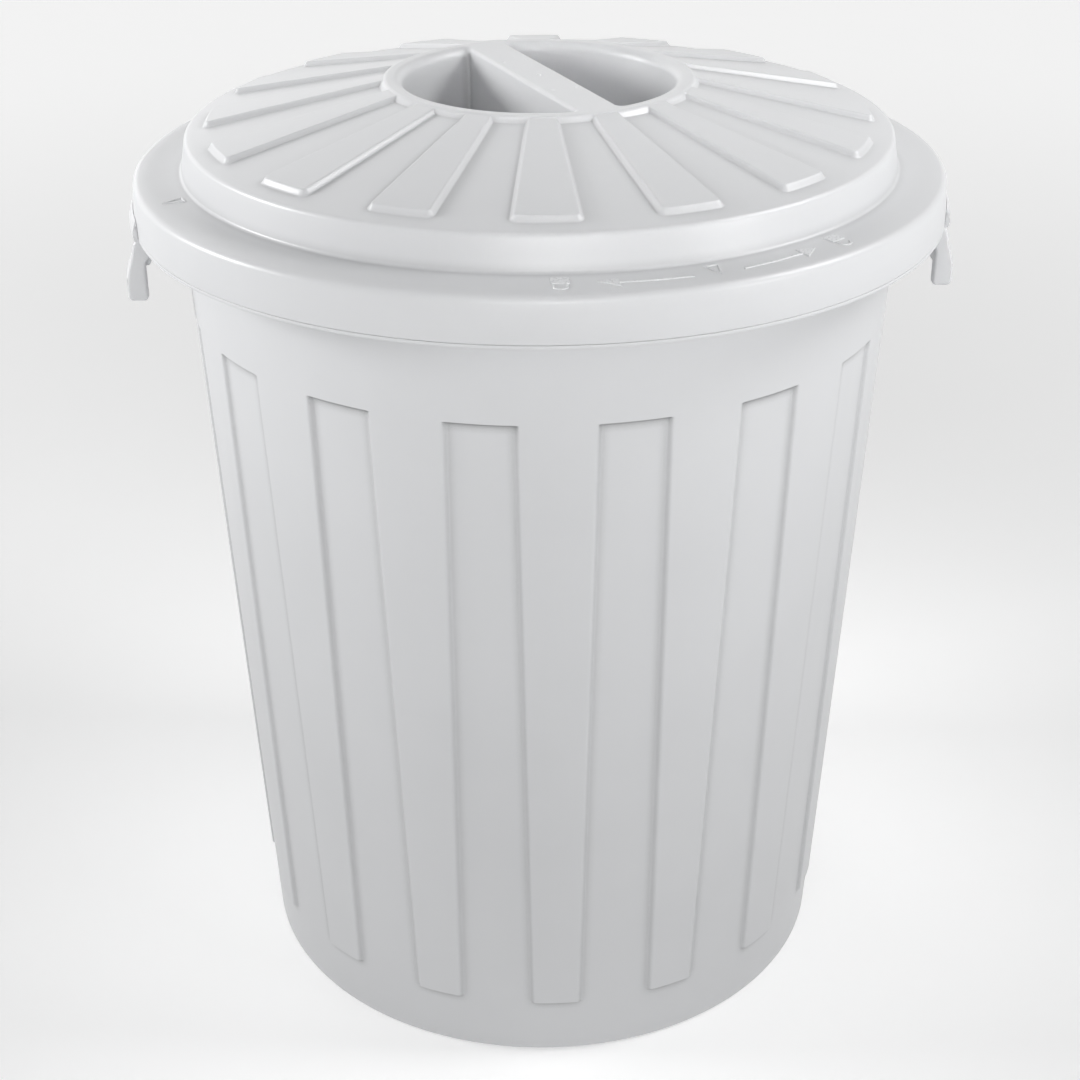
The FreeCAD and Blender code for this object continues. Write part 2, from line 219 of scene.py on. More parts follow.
# Marks on the brim, along and across it from the middle of their set
MARK_RADIUS = 214.0
MARK_HEIGHT = 0.45
MARK_EDGE = 0.5
MARK_SUNK = 0.4
ARROW_HEAD = ((61.3, -0.8), (49.7, -4.5), (49.7, 6.3))
ARROW_SHAFT = ((50.5, 0.9), (32.0, 1.7), (13.1, 2.5))
ARROW_WIDTH = 2.0
PADLOCK_PLACE = (78.4, -0.5)
PADLOCK_HALF = 5.0
PADLOCK_FOOT = -7.0
PADLOCK_TOP = 0.6
SHACKLE_RADIUS = 3.4
SHACKLE_WIDTH = 1.8
SHACKLE_POINTS = 13
POINTER = ((0.0, 5.5), (-5.0, -7.5), (5.0, -7.5))
POINTER_WIDTH = 1.8

# Moulding dots on the bar, as radius, height and edge
GATE_DOT = (1.8, 0.3, 0.6)
SMALL_DOT = (1.5, 0.1, 0.3)
DOT_ALONG = 34.5
DOT_ACROSS = 7.0

# Screw thread between neck and skirt
THREAD_RUN = math.radians(72)
THREAD_RISE = 6.0
THREAD_ROOT = 2.6
THREAD_CREST = 0.9
THREAD_FADE = 0.12
THREAD_BEND = 0.3
THREAD_ROWS = 49
NECK_THREAD_TIP = 224.2
NECK_THREAD_Z = 489.0
SKIRT_THREAD_TIP = 224.6
SKIRT_THREAD_Z = 486.0

# Columns of a sector, from the edge of its finger or rib and as shares of the way to its middle and end
EDGE_STEPS = (-4.0, -2.4, -1.7, -1.2, -0.7, 0.0, 0.7, 1.2, 1.7, 2.4, 4.0)
INSIDE_SHARES = (0.0, 0.5)
OUTSIDE_SHARES = (0.5, 1.0)
LEAST_COLUMN_RADIUS = 80.0

# Longest straight between the rows of a path
UNDER_STEP = 20.0
INSIDE_STEP = 24.0
ARM_STEP = 3.0
RING_STEP = 0.5
BRIM_STEP = 5.0

# Mesh: points merged within this reach in metres, edges sharper than this angle, limit of a mitre
MERGE_REACH = 1e-6
SHARP_ANGLE = math.radians(38)
LEAST_MITRE = 0.4

# Light tint, dark tint and roughness of each finish
WHITE = (1.0, 1.0, 1.0, 1.0)
GREY = ((0.55, 0.555, 0.565), (0.535, 0.54, 0.55), 0.36)
# Marks and dots: lower roughness for real gloss, and a lighter tint that is a painted highlight
GLOSSY_PAINTED_HIGHLIGHT = ((0.60, 0.605, 0.615), (0.58, 0.585, 0.595), 0.28)
RUBBER = ((0.05, 0.05, 0.05), (0.035, 0.035, 0.035), 0.6)
PALE = ((0.93, 0.93, 0.93), (0.92, 0.92, 0.92), 0.9)

# Clouds in the tint, grain in roughness and bump, painted shade darkening inner edges and corners; reach
# and depth in metres
CLOUD = {"Scale": 14.0, "Detail": 4.0}
CLOUD_RANGE = (0.3, 0.7)
GRAIN = {"Scale": 900.0, "Detail": 2.0}
GRAIN_BUMP = {"Strength": 0.04, "Distance": 0.0004}
GRAIN_ROUGHNESS = 0.04
SHADE_REACH = 0.006
SHADE_OCCLUSION_RANGE = (0.7, 0.97)
SHADE_SAMPLES = 4
# Strength of the painted shade in inner edges, on the bucket and on the lid
BIN_PAINTED_SHADE = 0.8
LID_PAINTED_SHADE = 0.2

# Camera found from the outlines of lid, wall and base, in millimetres, radians and pixels of the photo
CAMERA_DISTANCE = 1072.0
CAMERA_HEIGHT = 820.8
CAMERA_TURN = math.radians(2.54)
CAMERA_PITCH = 0.4833
CAMERA_ROLL = -0.0044
CAMERA_ASIDE_PIXELS = 1.24
FOCAL_PIXELS = 1917.1
PHOTO_PIXELS = 1080.0
SENSOR_WIDTH = 36.0
CAMERA_CLIP_END = 50.0

# Studio light: even walls, and zones by azimuth from the front, elevation and strength
STUDIO_WALLS = 0.1
STUDIO_ZONES = ((0, 30, 0.55), (0, 12, 1.4), (155, 12, 1.1), (210, 12, 2.1), (300, 45, 0.4))
ZONE_FALLOFF = 8.0

# Floor, which glows more with distance from the bin, in metres
FLOOR_REACH = 100.0
FLOOR_GLOW_START = 0.3
FLOOR_GLOW_END = 2.5
FLOOR_GLOW_NEAR = 0.27
FLOOR_GLOW_FAR = 0.45

# Lamps: name, place, target and size in metres, power in watts and spread in degrees
LAMPS = (
    ("front", (0, -1.5, 0.64), (0, 0, 0.57), (0.8, 0.25), 0.55, 50),
    ("front_right", (1.25, -0.9, 0.68), (0, 0, 0.56), (0.5, 0.3), 0.45, 50),
    ("left", (-1.2, 0.05, 0.85), (-0.15, 0, 0.53), (0.5, 0.3), 1.4, 60),
    ("grip", (0.1, -1.5, 1.2), (0.03, 0.02, 0.53), (0.15, 0.15), 0.02, 10),
    ("right", (0.9, -0.1, 1.2), (0.15, 0, 0.53), (0.5, 0.5), 1.2, 60),
)


def add_object(name, data):
    obj = bpy.data.objects.new(name, data)
    bpy.context.scene.collection.objects.link(obj)
    return obj


# Gathers points in millimetres and the faces between them
class Shape:
    def __init__(self):
        self.points = []
        self.faces = []

    def add(self, points):
        first = len(self.points)
        self.points.extend(tuple(float(v) * MM for v in point) for point in points)
        return first

    # Quads between rows that each close on themselves
    def wrap(self, rows):
        count = len(rows[0])
        first = self.add(np.concatenate(rows))
        for i in range(len(rows) - 1):
            low = first + i * count
            for j in range(count):
                k = (j + 1) % count
                self.faces.append((low + j, low + k, low + count + k, low + count + j))

    # Flat triangles that fill an outline, less its holes
    def fill(self, *loops):
        first = self.add(np.concatenate(loops))
        outlines = [[Vector(point) for point in loop] for loop in loops]
        for triangle in tessellate_polygon(outlines):
            self.faces.append(tuple(first + corner for corner in triangle))

    # Rows with both ends closed
    def solid(self, rows):
        self.wrap(rows)
        self.fill(rows[0])
        self.fill(rows[-1])

    def build(self, name):
        mesh = bpy.data.meshes.new(name)
        mesh.from_pydata(self.points, [], self.faces)
        work = bmesh.new()
        work.from_mesh(mesh)
        bmesh.ops.remove_doubles(work, verts=work.verts, dist=MERGE_REACH)
        bmesh.ops.recalc_face_normals(work, faces=work.faces)
        for face in work.faces:
            face.smooth = True
        work.to_mesh(mesh)
        work.free()
        mesh.set_sharp_from_angle(angle=SHARP_ANGLE)
        return add_object(name, mesh)


# Radius of the raised fingers and of the plain band above them
def cone_radius(z):
    return BASE_RADIUS + TAPER * z


# Radius of the recesses and of the plain band at the foot
def floor_radius(z):
    return cone_radius(z) - FINGER_DEPTH


def dome_z(radius):
    share = (DOME_EDGE[0] - radius) / (DOME_EDGE[0] - RING_FOOT[0])
    return DOME_EDGE[1] + share * (RING_FOOT[1] - DOME_EDGE[1])


def brim_z(radius):
    share = (BRIM_RADIUS - radius) / (BRIM_RADIUS - RISER_FOOT[0])
    return BRIM_Z + share * (RISER_FOOT[1] - BRIM_Z)


# Straight ramp from 0 to 1 with both ends rounded over a share of its run
def ramp(t, bend):
    t = np.clip(t, 0.0, 1.0)
    slope = 1.0 / (1.0 - bend)
    low = slope * t * t / (2.0 * bend)
    high = 1.0 - slope * (1.0 - t) ** 2 / (2.0 * bend)
    line = slope * (t - bend / 2.0)
    return np.where(t < bend, low, np.where(t > 1.0 - bend, high, line))


# Points of the arc that rounds a corner between its two neighbours
def corner_arc(before, here, after, rounding, arc_steps):
    here = np.array(here, float)
    before = np.array(before, float) - here
    after = np.array(after, float) - here
    before /= np.linalg.norm(before)
    after /= np.linalg.norm(after)
    half = math.acos(float(np.clip(before @ after, -1, 1))) / 2
    middle = before + after
    centre = here + middle / np.linalg.norm(middle) * rounding / math.sin(half)
    start = here + before * rounding / math.tan(half) - centre
    end = here + after * rounding / math.tan(half) - centre
    turn = math.pi - 2 * half
    arc = []
    for t in np.linspace(0.0, 1.0, arc_steps + 1):
        mix = (math.sin((1 - t) * turn) * start + math.sin(t * turn) * end) / math.sin(turn)
        arc.append(centre + mix)
    return arc


# Open path through corners of x, z and rounding, with its straights split
def rounded_path(corners, step=8.0, arc_steps=5):
    points = []
    for i, (x, z, rounding) in enumerate(corners):
        if rounding > 0:
            points += corner_arc(corners[i - 1][:2], (x, z), corners[i + 1][:2], rounding, arc_steps)
        else:
            points.append(np.array((x, z), float))
    path = [points[0]]
    for point in points[1:]:
        last = path[-1]
        parts = max(1, int(math.ceil(np.linalg.norm(point - last) / step)))
        for k in range(1, parts + 1):
            path.append(last + (point - last) * k / parts)
    return np.array(path)


# Outline moved inward by a distance
def inset(outline, distance):
    edges = np.roll(outline, -1, axis=0) - outline
    edges /= np.linalg.norm(edges, axis=1)[:, None]
    x, y = outline.T
    turn = np.sign(np.sum(x * np.roll(y, -1) - y * np.roll(x, -1)))
    inward = turn * np.stack([-edges[:, 1], edges[:, 0]], axis=1)
    before = np.roll(inward, 1, axis=0)
    meet = np.maximum(1.0 + np.sum(before * inward, axis=1), LEAST_MITRE)
    return outline + distance * (before + inward) / meet[:, None]


def circle(x, y, radius, count=24):
    turns = np.linspace(0, 2 * math.pi, count, endpoint=False)
    return np.stack([x + radius * np.cos(turns), y + radius * np.sin(turns)], axis=1)


# Outline of a stroke of given width along a path
def stroke(path, width):
    path = np.array(path, float)
    ahead = np.gradient(path, axis=0)
    ahead /= np.linalg.norm(ahead, axis=1)[:, None]
    side = np.stack([-ahead[:, 1], ahead[:, 0]], axis=1) * width / 2
    return np.concatenate([path + side, (path - side)[::-1]])


# Angles of one sector's columns, from its centre line, for an edge at a given angle
def sector_columns(edge, radius):
    radius = max(radius, LEAST_COLUMN_RADIUS)
    near = edge + EDGE_STEPS[0] / radius
    far = edge + EDGE_STEPS[-1] / radius
    side = [share * near for share in INSIDE_SHARES]
    side += [edge + step / radius for step in EDGE_STEPS]
    side += [far + share * (PITCH / 2 - far) for share in OUTSIDE_SHARES]
    left = [-angle for angle in side[1:-1]]
    return np.array(left[::-1] + side)


# Points at given azimuths from the front, which is -Y
def round_row(radius, azimuth, z):
    radius = np.broadcast_to(radius, azimuth.shape)
    z = np.broadcast_to(z, azimuth.shape)
    return np.stack([radius * np.sin(azimuth), -radius * np.cos(azimuth), z], axis=1)


# Half angle of a recessed finger at a height
def recess_half(z):
    down = np.clip((FINGER_TOP_Z - z) / (FINGER_TOP_Z - FINGER_FOOT_Z), 0.0, RECESS_REACH)
    return RECESS_HALF_TOP + down * (RECESS_HALF_FOOT - RECESS_HALF_TOP)


# Larger of two distances, with a rounded corner where they meet
def join(a, b, corner):
    outside = np.hypot(np.maximum(a + corner, 0.0), np.maximum(b + corner, 0.0))
    return outside + np.minimum(np.maximum(a, b) + corner, 0.0) - corner


# Share of a raised finger's height, 0 in a recess and 1 on a finger; the margin widens the recess
def finger_share(angle, z, margin):
    radius = floor_radius(z)
    across = (np.abs(angle) * radius - recess_half(z) * radius - margin) / FINGER_RUN
    above = (z - FINGER_TOP_Z - margin) / LEDGE_RUN
    below = (FINGER_FOOT_Z + 2 * margin - z) / LEDGE_RUN
    inside = -join(-join(across, above, RECESS_CORNER), below, FOOT_CORNER)
    return ramp(inside + 0.5, FINGER_BEND)


# Heights of the rows close to a finger's end
def near_levels(level):
    offsets = [*np.linspace(*BELOW_END_ROWS), *np.linspace(*AT_END_ROWS), ABOVE_END_ROW]
    return [level + offset for offset in offsets]


def wall_levels():
    return [
        *np.linspace(*LOW_ROWS),
        *near_levels(FINGER_FOOT_Z),
        *np.linspace(*MIDDLE_ROWS),
        *near_levels(FINGER_TOP_Z),
        *np.linspace(*HIGH_ROWS),
    ]


def bucket_row(radius, z, columns):
    around = np.concatenate([columns + (k + 0.5) * PITCH for k in range(SECTORS)])
    out = np.tile(np.broadcast_to(radius, columns.shape), SECTORS)
    return round_row(out, around, z)


# Row of the fingered wall, on its outside or one wall further in
def wall_row(z, inward):
    margin = inward / 2
    radius = floor_radius(z) - inward
    columns = sector_columns(recess_half(z) + margin / radius, radius)
    return bucket_row(radius + FINGER_DEPTH * finger_share(columns, z, margin), z, columns)


# Underside of the bucket, from its middle over the foot ring to the wall
def foot_path():
    return rounded_path([
        (0.0, FOOT_RING_HEIGHT, 0),
        (FOOT_RING_RADIUS, FOOT_RING_HEIGHT, FOOT_RING_EDGE),
        (FOOT_RING_RADIUS + 2 * FOOT_RING_HEIGHT, 0.0, FOOT_RING_EDGE),
        (floor_radius(0), 0.0, BASE_EDGE),
        (floor_radius(OUTSIDE_START_Z), OUTSIDE_START_Z, 0),
    ], step=UNDER_STEP)


# Flange, neck and throat, from the wall's outside to its inside
def rim_path():
    neck_inner = NECK_RADIUS - WALL
    throat = cone_radius(FLANGE_Z) - WALL
    return rounded_path([
        (cone_radius(RIM_START_Z), RIM_START_Z, 0),
        (cone_radius(FLANGE_Z), FLANGE_Z, FLANGE_ROOT),
        (SKIRT_RADIUS, FLANGE_Z, FLANGE_EDGE),
        (SKIRT_RADIUS, FLANGE_TOP, SEAM_EDGE),
        (NECK_RADIUS, FLANGE_TOP, NECK_ROOT),
        (NECK_RADIUS, NECK_TOP_Z, NECK_EDGE),
        (neck_inner, NECK_TOP_Z, NECK_EDGE),
        (neck_inner, FLANGE_TOP, NECK_EDGE),
        (throat, FLANGE_TOP, THROAT_EDGE),
        (throat, RIM_END_Z, 0),
    ], step=INSIDE_STEP)


# Floor of the bucket, from the wall's inside to its middle
def floor_path():
    return rounded_path([
        (floor_radius(INSIDE_START_Z) - WALL, INSIDE_START_Z, 0),
        (floor_radius(FLOOR) - WALL, FLOOR, BASE_EDGE),
        (0.0, FLOOR, 0),
    ], step=INSIDE_STEP)


def make_bucket():
    low_columns = sector_columns(recess_half(FINGER_FOOT_Z), floor_radius(0))
    high_columns = sector_columns(recess_half(FINGER_TOP_Z), floor_radius(FLANGE_Z))
    rows = [bucket_row(radius, z, low_columns) for radius, z in foot_path()]
    rows += [wall_row(z, 0.0) for z in wall_levels()]
    rows += [bucket_row(radius, z, high_columns) for radius, z in rim_path()]
    rows += [wall_row(z, WALL) for z in reversed(wall_levels())]
    rows += [bucket_row(radius, z, low_columns) for radius, z in floor_path()]
    shape = Shape()
    shape.wrap(rows)
    return shape.build("bucket_skin")


# Plates under the flange that hold the handles' pins
def make_lugs():
    top = FLANGE_Z + LUG_SUNK
    profile = rounded_path([
        (LUG_ROOT_X, top, 0),
        (LUG_OUTER_X, top, 0),
        (LUG_OUTER_X, LUG_FOOT_Z, LUG_TIP_RADIUS),
        (LUG_TOE_X, LUG_FOOT_Z, LUG_TIP_RADIUS / 3),
        (LUG_WAIST_X, LUG_WAIST_Z, LUG_TIP_RADIUS),
        (LUG_ROOT_X, LUG_ROOT_Z, 0),
    ])
    hole = circle(PIVOT_X, PIVOT_Z, LUG_HOLE, HOLE_POINTS)
    shape = Shape()
    for side in (-1, 1):
        for middle in (-LUG_Y, LUG_Y):
            faces = []
            for y in (middle - LUG_THICKNESS / 2, middle + LUG_THICKNESS / 2):
                faces.append([[(side * x, y, z) for x, z in loop] for loop in (profile, hole)])
            for front, back in zip(*faces):
                shape.wrap([front, back])
            for loops in faces:
                shape.fill(*loops)
    return shape.build("bucket_lugs")


# Section of a shield with a given top, in radius and height
def shield_section(top):
    root = SKIRT_RADIUS - SHIELD_SUNK
    levels = np.linspace(FLANGE_Z, top - SHIELD_SHOULDER, SHIELD_LEVELS)
    drop = (levels - SHIELD_BULGE_Z) / (SHIELD_TOP_Z - SHIELD_BULGE_Z)
    outside = SHIELD_OUTER - (SHIELD_OUTER - SHIELD_INNER - SHIELD_LIP) * drop ** 2
    return np.array([
        (root, FLANGE_Z),
        *zip(outside, levels),
        (SHIELD_INNER + SHIELD_LIP / 2, top),
        (SHIELD_INNER, top - SHIELD_LIP),
        (SHIELD_INNER, FLANGE_TOP),
        (root, FLANGE_TOP),
    ])


# Low shields on the flange that cover the lid's skirt above the handles
def make_shields():
    reach = SHIELD_HALF * SHIELD_OUTER
    end = np.linspace(0, SHIELD_END, SHIELD_END_ROWS)
    half = [*end, *np.linspace(2 * SHIELD_END, reach, SHIELD_ROWS)]
    stations = [(along, along - reach) for along in half]
    stations += [(along, reach - along) for along in half[-2::-1]]
    shape = Shape()
    for middle in (-math.pi / 2, math.pi / 2):
        rows = []
        for along, offset in stations:
            rounding = math.sqrt(1.0 - (1.0 - min(along / SHIELD_END, 1.0)) ** 2)
            radius, z = shield_section(SHIELD_TOP_Z - SHIELD_END * (1.0 - rounding)).T
            azimuth = np.full(radius.shape, middle + offset / SHIELD_OUTER)
            rows.append(round_row(radius, azimuth, z))
        shape.solid(rows)
    return shape.build("bucket_shields")


# Outline of a handle's arm from its eye down to its foot, in x and z
def arm_outline():
    eye = []
    for angle in np.radians(np.linspace(*EYE_ARC)):
        eye.append((PIVOT_X + EYE_RADIUS * math.cos(angle), PIVOT_Z + EYE_RADIUS * math.sin(angle), 0))
    return rounded_path(eye + [
        (*ARM_SHOULDER, ARM_CURVE),
        (*ARM_ELBOW, ARM_CURVE),
        (ARM_OUTER_X, ARM_FOOT_Z, ARM_TOE),
        (ARM_INNER_X, ARM_FOOT_Z, ARM_HEEL),
        (ARM_INNER_X, ARM_NECK_Z, ARM_NECK_CURVE),
        eye[0],
    ], step=ARM_STEP)[:-1]


# Points of the right handle, or turned half round for the left one
def handle_row(side, x, y, z):
    return np.column_stack([side * x, side * np.broadcast_to(y, x.shape), z])


def arm_rows(side, end):
    outline = arm_outline()
    rows = []
    for face in (-1, 1):
        for angle in np.linspace(0, math.pi / 2, ARM_EDGE_ROWS)[::-face]:
            x, z = inset(outline, ARM_EDGE * (1.0 - math.sin(angle))).T
            depth = ARM_WIDTH / 2 - ARM_EDGE * (1.0 - math.cos(angle))
            rows.append(handle_row(side, x, end * (ARM_Y - face * depth), z))
    return rows


def pin_rows(side, end):
    pin = circle(PIVOT_X, PIVOT_Z, PIN_RADIUS)
    rows = []
    for y, chamfer in ((ARM_Y, 0.0), (PIN_END_Y + PIN_CHAMFER, 0.0), (PIN_END_Y, PIN_CHAMFER)):
        x, z = inset(pin, chamfer).T
        rows.append(handle_row(side, x, end * y, z))
    return rows


# Grip with a rounded section, curved with the bin's rim
def grip_rows(side):
    top = GRIP_FOOT_Z + GRIP_HEIGHT
    middle = (GRIP_FOOT_Z + top) / 2
    section = rounded_path([
        (GRIP_INNER, middle, 0),
        (GRIP_INNER, top, GRIP_EDGE),
        (GRIP_OUTER, top, GRIP_EDGE),
        (GRIP_OUTER, GRIP_FOOT_Z, GRIP_EDGE),
        (GRIP_INNER, GRIP_FOOT_Z, GRIP_EDGE),
        (GRIP_INNER, middle, 0),
    ])[:-1]
    radius, z = section.T
    reach = math.asin(ARM_Y / GRIP_OUTER)
    rows = []
    for azimuth in np.linspace(-reach, reach, GRIP_ROWS):
        rows.append(handle_row(side, radius * math.cos(azimuth), radius * math.sin(azimuth), z))
    return rows


def make_handle(name, side):
    shape = Shape()
    for end in (-1, 1):
        shape.solid(arm_rows(side, end))
        shape.solid(pin_rows(side, end))
    shape.solid(grip_rows(side))
    return shape.build(name)


# Four ridges of the screw thread, each rising along its run
def make_thread(name, root, tip, low_z):
    out = math.copysign(1.0, tip - root)
    back = root - out * MARK_SUNK
    shape = Shape()
    for quarter in range(4):
        rows = []
        for t in np.linspace(0.0, 1.0, THREAD_ROWS):
            z = low_z + t * THREAD_RISE
            height = abs(tip - root) * float(ramp(min(t, 1.0 - t) / THREAD_FADE, THREAD_BEND))
            crest = root + out * (height - MARK_SUNK / 2)
            section = [
                (back, z - THREAD_ROOT),
                (crest, z - THREAD_CREST),
                (crest, z + THREAD_CREST),
                (back, z + THREAD_ROOT),
            ]
            radius, level = np.array(section).T
            azimuth = np.full(radius.shape, quarter * math.pi / 2 + t * THREAD_RUN)
            rows.append(round_row(radius, azimuth, level))
        shape.solid(rows)
    return shape.build(name)


# Height of a rib above the dome at angles from its centre line
def rib_lift(angle, radius):
    across = (np.abs(angle) - RIB_HALF) * radius
    side = join(across, radius - RIB_OUT_RADIUS, RIB_CORNER)
    share = np.clip((radius - RING_OUTER) / (RIB_OUT_RADIUS - RING_OUTER), 0, 1)
    height = RIB_HEIGHT_IN + share * (RIB_HEIGHT_OUT - RIB_HEIGHT_IN)
    return height * ramp(0.5 - side / RIB_RUN, RIB_BEND)


def lid_row(radius, z, ribbed):
    columns = sector_columns(RIB_HALF, radius)
    level = np.full(columns.shape, float(z))
    if ribbed:
        level = np.clip(dome_z(radius) + rib_lift(columns, radius), level, LID_TOP_Z)
    around = np.concatenate([columns + k * PITCH + LID_TURN for k in range(SECTORS)])
    return round_row(radius, around, np.tile(level, SECTORS))


# Ring round the grip, from the plate inside it to the dome
def ring_path():
    return rounded_path([
        (RING_BACK - FLAT_RIM, LID_TOP_Z, 0),
        (RING_OUTER, LID_TOP_Z, RING_OUTER_EDGE),
        (*RING_FOOT, RING_ROOT),
        (RIB_START_RADIUS, dome_z(RIB_START_RADIUS), 0),
    ], step=RING_STEP)


# Dome along the ribs, with rows close together at their outer ends
def dome_path():
    radii = [*np.linspace(*RIB_ROWS), *np.arange(*RIB_END_ROWS)]
    return [(radius, dome_z(radius)) for radius in radii]


# Dome's edge, riser, brim and skirt, to the inside of the skirt's foot
def brim_path():
    return rounded_path([
        (RIB_PAST_RADIUS, dome_z(RIB_PAST_RADIUS), 0),
        (*DOME_EDGE, DOME_EDGE_ROUND),
        (*RISER_FOOT, RISER_ROOT),
        (BRIM_RADIUS, BRIM_Z, BRIM_EDGE),
        (SKIRT_RADIUS, SHIELD_TOP_Z, SKIRT_BEND),
        (SKIRT_RADIUS, SKIRT_Z, SEAM_EDGE),
        (SKIRT_INNER, SKIRT_Z, SKIRT_FOOT_EDGE),
        (SKIRT_INNER, SKIRT_INSIDE_Z, 0),
    ], step=BRIM_STEP)


# Underside of the lid, from the skirt over the collar and under the dome to the plate
def under_path():
    slope = (RING_FOOT[1] - DOME_EDGE[1]) / (DOME_EDGE[0] - RING_FOOT[0])
    below = WALL * math.sqrt(1 + slope * slope)
    dome_out = DOME_EDGE[0] - WALL
    dome_in = RING_BACK + RING_BACK_DRAFT
    plate_z = LID_TOP_Z - WALL
    plate_edge = RING_BACK - RING_BACK_FLAT
    return rounded_path([
        (SKIRT_INNER, SKIRT_INSIDE_Z, 0),
        (BRIM_RADIUS - WALL, BRIM_Z - WALL, UNDER_BRIM_EDGE),
        (COLLAR_RADIUS, brim_z(COLLAR_RADIUS) - WALL, COLLAR_EDGE),
        (COLLAR_RADIUS, COLLAR_FOOT_Z, COLLAR_EDGE),
        (COLLAR_INNER, COLLAR_FOOT_Z, COLLAR_EDGE),
        (COLLAR_INNER, brim_z(COLLAR_INNER) - WALL, COLLAR_EDGE),
        (RISER_FOOT[0] - WALL, RISER_FOOT[1] - WALL, UNDER_BRIM_EDGE),
        (dome_out, dome_z(dome_out) - below, UNDER_DOME_EDGE),
        (dome_in, dome_z(dome_in) - below, UNDER_DOME_EDGE),
        (RING_BACK, plate_z, UNDER_DOME_EDGE),
        (plate_edge, plate_z, 0),
        (plate_edge - FLAT_RIM, plate_z, 0),
    ], step=UNDER_STEP)


def lid_rows():
    paths = ((ring_path(), True), (dome_path(), True), (brim_path(), False), (under_path(), False))
    rows = []
    for path, ribbed in paths:
        rows += [lid_row(radius, z, ribbed) for radius, z in path]
    return rows


# D-shaped outline of a finger pocket, along and across the bar, and each point's share in its round side
def pocket_outline(radius, half_width, corner):
    middle = half_width + corner
    reach = math.sqrt((radius - corner) ** 2 - middle ** 2)
    turn = math.atan2(middle, reach)
    along = np.linspace(-reach, reach, POCKET_LINE_POINTS)
    line = np.stack([along, np.full(POCKET_LINE_POINTS, half_width)], axis=1)
    bend = np.linspace(-math.pi / 2, turn, POCKET_BEND_POINTS + 1)[1:]
    bend_out = np.stack([reach + corner * np.cos(bend), middle + corner * np.sin(bend)], axis=1)
    arc = np.linspace(turn, math.pi - turn, POCKET_ARC_POINTS + 1)[1:]
    curve = radius * np.stack([np.cos(arc), np.sin(arc)], axis=1)
    bend_back = (bend_out * (-1, 1))[::-1][1:]
    rise = np.linspace(1.0 / POCKET_BEND_POINTS, 1.0, POCKET_BEND_POINTS)
    share = np.concatenate([np.zeros(POCKET_LINE_POINTS), rise, np.ones(POCKET_ARC_POINTS), rise[::-1][1:]])
    return np.concatenate([line, bend_out, curve, bend_back]), share


# Points on the lid along and across the bar
def bar_row(flat, z):
    along = np.array((math.sin(BAR_TURN), -math.cos(BAR_TURN)))
    across = np.array((math.cos(BAR_TURN), math.sin(BAR_TURN)))
    ground = flat[:, :1] * along + flat[:, 1:] * across
    return np.column_stack([ground, np.broadcast_to(z, len(flat))])


# Rows down into a pocket, or with a growth of one wall down the outside of its cup
def pocket_rows(side, growth, top_z, bar_edge, ring_edge):
    floor_z = POCKET_FLOOR_Z - growth
    floor_edge = POCKET_FLOOR_EDGE + growth
    corner = POCKET_CORNER + growth
    corner_edge = (bar_edge + ring_edge) / 2
    rows = []

    # One row, out by a share of the edge's rounding and down by a share of it from a level
    def add(out, inward, foot, level, down):
        radius = RING_INNER + foot * (POCKET_FOOT_RADIUS - RING_INNER) + growth
        width = BAR_HALF_WIDTH + foot * BAR_DRAFT - growth
        flat, share = pocket_outline(radius + ring_edge * out - inward,
                                     width - bar_edge * out + inward,
                                     corner + corner_edge * out - inward)
        edge = bar_edge + share * (ring_edge - bar_edge)
        rows.append(bar_row(side * flat, level - down * edge))

    add(POCKET_RIM_SHARE, -FLAT_RIM, 0.0, top_z, 0.0)
    for angle in np.linspace(0.0, math.pi / 2, POCKET_EDGE_ROWS):
        add(1.0 - math.sin(angle), 0.0, 0.0, top_z, 1.0 - math.cos(angle))
    for t in np.linspace(0.0, 1.0, POCKET_WALL_ROWS)[1:]:
        add(0.0, 0.0, t, (1.0 - t) * top_z + t * (floor_z + floor_edge), 1.0 - t)
    for angle in np.linspace(0.0, math.pi / 2, POCKET_FLOOR_ROWS)[1:]:
        level = floor_z + floor_edge * (1.0 - math.sin(angle))
        add(0.0, floor_edge * (1.0 - math.cos(angle)), 1.0, level, 0.0)
    add(0.0, floor_edge + FLAT_RIM, 1.0, floor_z, 0.0)
    return rows


def make_lid():
    shape = Shape()
    rows = lid_rows()
    shape.wrap(rows)
    pockets = [pocket_rows(side, 0.0, LID_TOP_Z, BAR_EDGE, RING_EDGE) for side in (1, -1)]
    cups = [pocket_rows(side, WALL, LID_TOP_Z - WALL, CUP_EDGE, CUP_EDGE) for side in (1, -1)]
    for occlusion in pockets + cups:
        shape.wrap(occlusion)
        shape.fill(occlusion[-1])
    shape.fill(rows[0], pockets[0][0], pockets[1][0])
    shape.fill(rows[-1], cups[0][0], cups[1][0])
    return shape.build("lid_skin")


# Raised mark with slanted edges; place turns flat points and a height into space
def emboss(shape, outline, place, height, edge):
    shape.solid([place(outline, -MARK_SUNK), place(inset(outline, edge), height)])


# Raised ring of a given width along an outline
def emboss_ring(shape, outline, width, place):
    rows = [
        place(outline, -MARK_SUNK),
        place(inset(outline, MARK_EDGE), MARK_HEIGHT),
        place(inset(outline, width - MARK_EDGE), MARK_HEIGHT),
        place(inset(outline, width), -MARK_SUNK),
    ]
    shape.wrap(rows + rows[:1])


